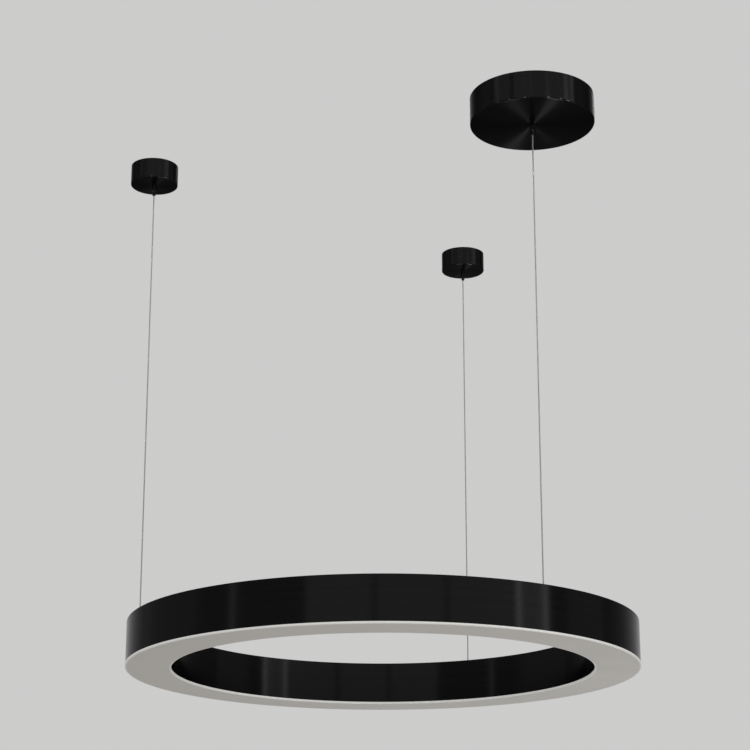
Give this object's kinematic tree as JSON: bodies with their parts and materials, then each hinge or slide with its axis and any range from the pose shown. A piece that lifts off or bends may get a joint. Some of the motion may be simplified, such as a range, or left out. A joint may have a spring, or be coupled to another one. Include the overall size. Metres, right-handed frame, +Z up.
{
  "type": "led ring chandelier",
  "caption": "Hanging ring light: a black metal ring with an opal face below, held level on thin steel wires from a large round driver canopy and small round canopies.",
  "frame": {"origin": "on the ceiling plane, on the axis of the ring, in the middle of the three ceiling points", "axes": "+Z up from the ring to the ceiling, -Y towards the viewer of the picture, +X to the right"},
  "size_m": [0.8167, 0.8012, 0.8352],
  "materials": {
    "black_lacquer_aluminium": "satin",
    "black_lacquer_steel": "satin",
    "black_hardware": "satin",
    "opal_acrylic": "satin",
    "bare_aluminium": "satin",
    "zinc_steel": "satin",
    "turned_steel": "satin",
    "spring_steel": "satin",
    "polished_balls": "polished",
    "steel_rope": "satin",
    "white_board": "satin",
    "led_phosphor": "satin",
    "white_connector": "satin",
    "white_driver_case": "satin",
    "grey_driver_cover": "satin",
    "black_rubber": "matte",
    "brass": "satin",
    "lead_insulation": "satin"
  },
  "bodies": {
    "ceiling_fittings": {"canopy_far": "black_lacquer_steel", "canopy_left": "black_lacquer_steel", "ceiling_bracket_far": "zinc_steel", "ceiling_bracket_left": "zinc_steel", "ceiling_plate": "zinc_steel", "driver_canopy": "black_lacquer_steel", "driver_end_covers": "grey_driver_cover", "driver_output_leads": "lead_insulation", "driver_screws": "zinc_steel", "earth_screw": "brass", "entry_grommet": "black_rubber", "gripper_barrel_far": "black_hardware", "gripper_barrel_left": "black_hardware", "gripper_barrel_near": "black_hardware", "led_driver": "white_driver_case", "mains_leads": "lead_insulation", "mains_terminal_block": "white_connector", "plunger_spring_far": "spring_steel", "plunger_spring_left": "spring_steel", "plunger_spring_near": "spring_steel", "standoff_far": "turned_steel", "standoff_left": "turned_steel", "standoff_near": "turned_steel", "wire_tails": "steel_rope"},
    "ring": {"ring_housing": "black_lacquer_aluminium", "diffuser": "opal_acrylic", "led_carrier": "bare_aluminium", "carrier_brackets": "bare_aluminium", "bracket_rivets": "black_lacquer_aluminium", "carrier_screws": "zinc_steel", "board_screws": "zinc_steel", "led_chips": "led_phosphor", "board_connectors": "white_connector", "anchor_washers": "zinc_steel", "anchor_nuts": "zinc_steel", "wire_anchor_near": "black_hardware", "wire_anchor_far": "black_hardware", "wire_anchor_left": "black_hardware", "ring_terminal_block": "white_connector", "supply_leads": "lead_insulation", "feed_leads": "lead_insulation", "led_board_1": "white_board", "led_board_2": "white_board", "led_board_3": "white_board", "led_board_4": "white_board", "led_board_5": "white_board", "led_board_6": "white_board"},
    "release_near": {"release_plunger_near": "black_hardware", "jaw_balls_near": "polished_balls"},
    "swing_wire_near": {"wire_near": "steel_rope"},
    "ball_end_near": {"wire_ball_near": "turned_steel"},
    "release_far": {"release_plunger_far": "black_hardware", "jaw_balls_far": "polished_balls"},
    "swing_wire_far": {"wire_far": "steel_rope"},
    "ball_end_far": {"wire_ball_far": "turned_steel"},
    "release_left": {"release_plunger_left": "black_hardware", "jaw_balls_left": "polished_balls"},
    "swing_wire_left": {"wire_left": "steel_rope"},
    "ball_end_left": {"wire_ball_left": "turned_steel"}
  },
  "joints": [
    {"name": "swing_near", "type": "hinge", "parent": "ceiling_fittings", "child": "swing_wire_near", "pos_m": [0.22603, -0.30547, -0.0626], "axis": [0, 1, 0], "range_deg": [-8, 8]},
    {"name": "swing_far", "type": "hinge", "parent": "ceiling_fittings", "child": "swing_wire_far", "pos_m": [0.15152, 0.34848, -0.0626], "axis": [0, 1, 0], "range_deg": [-8, 8]},
    {"name": "swing_left", "type": "hinge", "parent": "ceiling_fittings", "child": "swing_wire_left", "pos_m": [-0.37756, -0.04302, -0.0626], "axis": [0, 1, 0], "range_deg": [-8, 8]},
    {"name": "raise_near", "type": "slide", "parent": "swing_wire_near", "child": "ball_end_near", "axis": [0, 0, 1], "range_m": [0, 0.45], "deforming": ["wire_near"]},
    {"name": "raise_far", "type": "slide", "parent": "swing_wire_far", "child": "ball_end_far", "axis": [0, 0, 1], "range_m": [0, 0.45], "deforming": ["wire_far"]},
    {"name": "raise_left", "type": "slide", "parent": "swing_wire_left", "child": "ball_end_left", "axis": [0, 0, 1], "range_m": [0, 0.45], "deforming": ["wire_left"]},
    {"name": "ring_stays_level", "type": "hinge", "parent": "ball_end_near", "child": "ring", "pos_m": [0.22603, -0.30547, -0.77], "axis": [0, 1, 0], "range_deg": [-8, 8]},
    {"name": "press_release_near", "type": "slide", "parent": "ceiling_fittings", "child": "release_near", "axis": [0, 0, 1], "range_m": [0, 0.0016], "stiffness_N_per_m": 300, "springref_m": -0.002, "deforming": ["plunger_spring_near"]},
    {"name": "press_release_far", "type": "slide", "parent": "ceiling_fittings", "child": "release_far", "axis": [0, 0, 1], "range_m": [0, 0.0016], "stiffness_N_per_m": 300, "springref_m": -0.002, "deforming": ["plunger_spring_far"]},
    {"name": "press_release_left", "type": "slide", "parent": "ceiling_fittings", "child": "release_left", "axis": [0, 0, 1], "range_m": [0, 0.0016], "stiffness_N_per_m": 300, "springref_m": -0.002, "deforming": ["plunger_spring_left"]}
  ],
  "couplings": [
    {"joint": "swing_far", "follows": "swing_near", "ratio": 1},
    {"joint": "swing_left", "follows": "swing_near", "ratio": 1},
    {"joint": "ring_stays_level", "follows": "swing_near", "ratio": -1},
    {"joint": "raise_far", "follows": "raise_near", "ratio": 1},
    {"joint": "raise_left", "follows": "raise_near", "ratio": 1}
  ]
}
